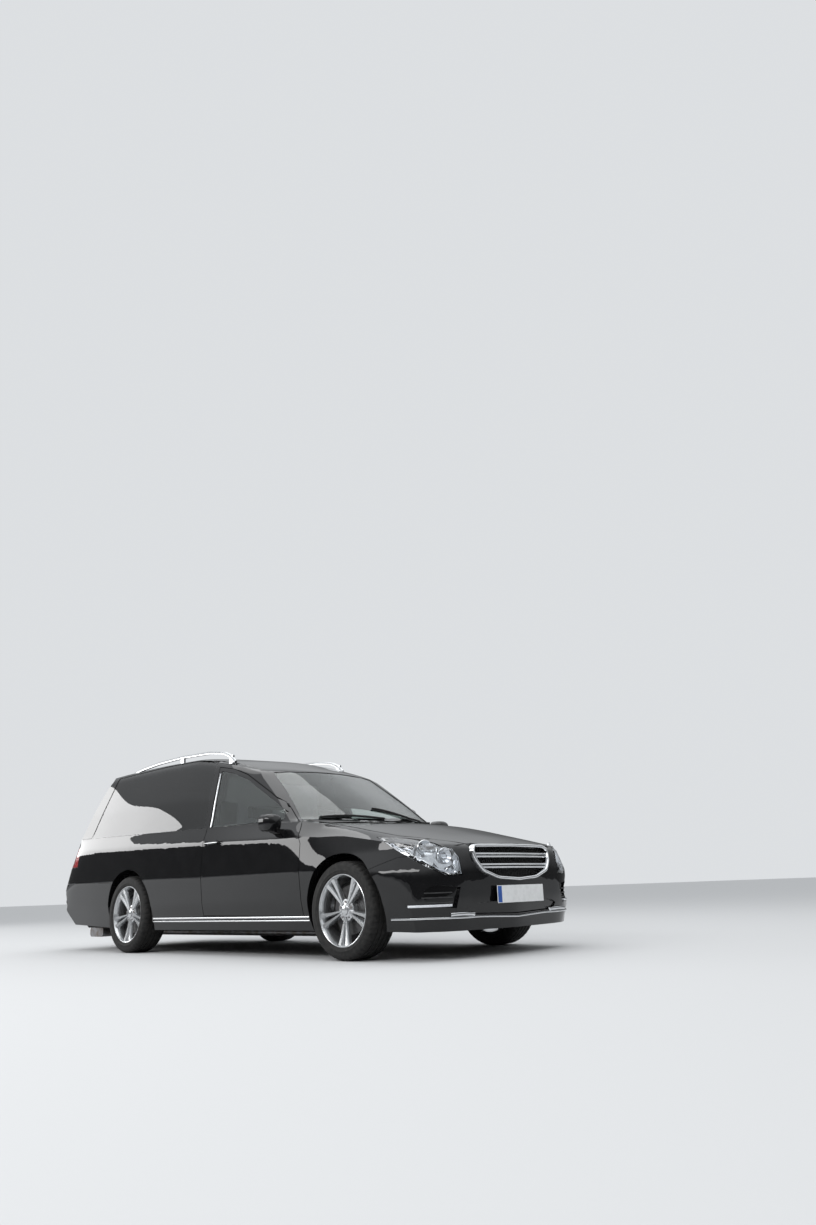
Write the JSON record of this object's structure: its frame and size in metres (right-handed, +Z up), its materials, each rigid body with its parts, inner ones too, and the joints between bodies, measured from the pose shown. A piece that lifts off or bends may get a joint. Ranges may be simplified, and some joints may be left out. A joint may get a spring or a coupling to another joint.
{
  "type": "hearse",
  "caption": "Long-roofed black motor hearse with a privacy-glazed load bay, a rail on each roof edge, opening doors, bonnet and tailgate, and steered, turning wheels.",
  "frame": {"origin": "on the ground, under the middle of the overall length and width", "axes": "+X to the nose, +Y to the left side, +Z up"},
  "size_m": [5.155, 2.068, 1.722],
  "materials": {
    "body_paint": "black gloss lacquer",
    "black_trim": "black moulded plastic",
    "chrome": "bright polished",
    "rail_metal": "satin anodised",
    "clear_lamp": "clear moulded lens",
    "red_lamp": "red moulded lens",
    "clear_glass": "green tinted",
    "dark_glass": "dark privacy tint",
    "tyre": "black rubber",
    "alloy": "silver lacquered",
    "steel": "plain",
    "iron": "rough",
    "underseal": "matt underseal",
    "deck_wood": "lacquered",
    "seat_leather": "smooth"
  },
  "bodies": {
    "body": {"body_side_left": "body_paint", "body_side_right": "body_paint", "roof": "body_paint", "scuttle": "black_trim", "windscreen": "clear_glass", "side_glass": "dark_glass", "wing_left": "body_paint", "wing_right": "body_paint", "front_bumper": "body_paint", "rear_bumper": "body_paint", "grille": "chrome", "headlamps": "clear_lamp", "tail_lamps": "red_lamp", "roof_rails": "rail_metal", "floor_pan": "underseal", "wheel_houses": "black_trim", "front_structure": "underseal", "engine": "iron", "front_subframe": "iron", "rear_axle": "iron", "exhaust": "steel", "partition": "black_trim", "load_deck": "deck_wood", "deck_runners": "steel", "dashboard": "black_trim", "seats": "seat_leather"},
    "door_left": {"door_left": "body_paint", "door_glass_left": "clear_glass"},
    "door_right": {"door_right": "body_paint", "door_glass_right": "clear_glass"},
    "bonnet": {"bonnet": "body_paint"},
    "tailgate": {"tailgate": "body_paint", "tailgate_glass": "dark_glass"},
    "knuckle_left": {"knuckle_left": "iron"},
    "knuckle_right": {"knuckle_right": "iron"},
    "steering_wheel": {"steering_wheel": "seat_leather"},
    "wheel_front_left": {"tyre_front_left": "tyre", "rim_front_left": "alloy"},
    "wheel_front_right": {"tyre_front_right": "tyre", "rim_front_right": "alloy"},
    "wheel_rear_left": {"tyre_rear_left": "tyre", "rim_rear_left": "alloy"},
    "wheel_rear_right": {"tyre_rear_right": "tyre", "rim_rear_right": "alloy"}
  },
  "joints": [
    {"name": "door_left_hinge", "type": "hinge", "parent": "body", "child": "door_left", "pos_m": [1.277, 0.92, 0.6], "axis": [0, 0, -1], "range_deg": [0, 65]},
    {"name": "door_right_hinge", "type": "hinge", "parent": "body", "child": "door_right", "pos_m": [1.277, -0.92, 0.6], "axis": [0, 0, 1], "range_deg": [0, 65]},
    {"name": "bonnet_hinge", "type": "hinge", "parent": "body", "child": "bonnet", "pos_m": [1.387, 0, 0.976], "axis": [0, -1, 0], "range_deg": [0, 50]},
    {"name": "tailgate_hinge", "type": "hinge", "parent": "body", "child": "tailgate", "pos_m": [-1.952, 0, 1.686], "axis": [0, 1, 0], "range_deg": [0, 85]},
    {"name": "steer_left", "type": "hinge", "parent": "body", "child": "knuckle_left", "pos_m": [1.722, 0.7525, 0.3275], "axis": [0, 0, 1], "range_deg": [-33, 33]},
    {"name": "steer_right", "type": "hinge", "parent": "body", "child": "knuckle_right", "pos_m": [1.722, -0.7525, 0.3275], "axis": [0, 0, 1], "range_deg": [-33, 33]},
    {"name": "wheel_front_left_spin", "type": "hinge", "parent": "knuckle_left", "child": "wheel_front_left", "pos_m": [1.722, 0.7925, 0.3275], "axis": [0, 1, 0], "continuous": true},
    {"name": "wheel_front_right_spin", "type": "hinge", "parent": "knuckle_right", "child": "wheel_front_right", "pos_m": [1.722, -0.7925, 0.3275], "axis": [0, 1, 0], "continuous": true},
    {"name": "wheel_rear_left_spin", "type": "hinge", "parent": "body", "child": "wheel_rear_left", "pos_m": [-1.152, 0.7975, 0.3275], "axis": [0, 1, 0], "continuous": true},
    {"name": "wheel_rear_right_spin", "type": "hinge", "parent": "body", "child": "wheel_rear_right", "pos_m": [-1.152, -0.7975, 0.3275], "axis": [0, 1, 0], "continuous": true},
    {"name": "steering_wheel_turn", "type": "hinge", "parent": "body", "child": "steering_wheel", "pos_m": [0.657, 0.37, 0.845], "axis": [-0.9135, 0, 0.4067], "range_deg": [-465, 465]}
  ],
  "couplings": [
    {"joint": "steer_right", "follows": "steer_left", "ratio": 1},
    {"joint": "steering_wheel_turn", "follows": "steer_left", "ratio": 14}
  ]
}
